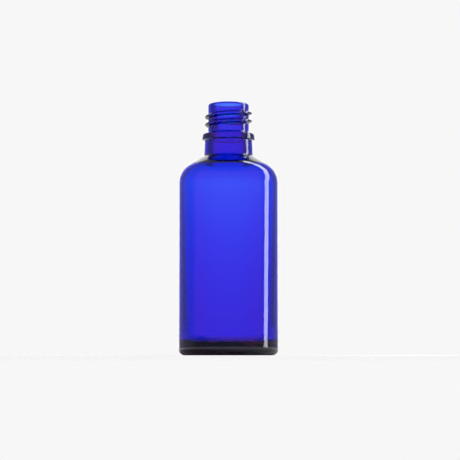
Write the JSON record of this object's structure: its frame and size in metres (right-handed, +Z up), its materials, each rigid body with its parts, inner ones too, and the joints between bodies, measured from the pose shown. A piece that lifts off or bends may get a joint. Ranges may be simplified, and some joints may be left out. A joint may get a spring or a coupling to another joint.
{
  "type": "screw-neck glass bottle",
  "caption": "Round moulded-glass bottle with rounded shoulders, a transfer bead and a GL 18 screw neck, open at the mouth, for an atomiser or dropper closure.",
  "frame": {"origin": "centre of the bearing ring that the bottle stands on", "axes": "+Z up along the bottle's axis, from the base to the mouth"},
  "size_m": [0.0378, 0.0378, 0.0955],
  "materials": {
    "cobalt_glass": "fire-polished clear cobalt-blue moulded glass"
  },
  "bodies": {
    "root": {"glass_bottle": "cobalt_glass"}
  },
  "joints": []
}
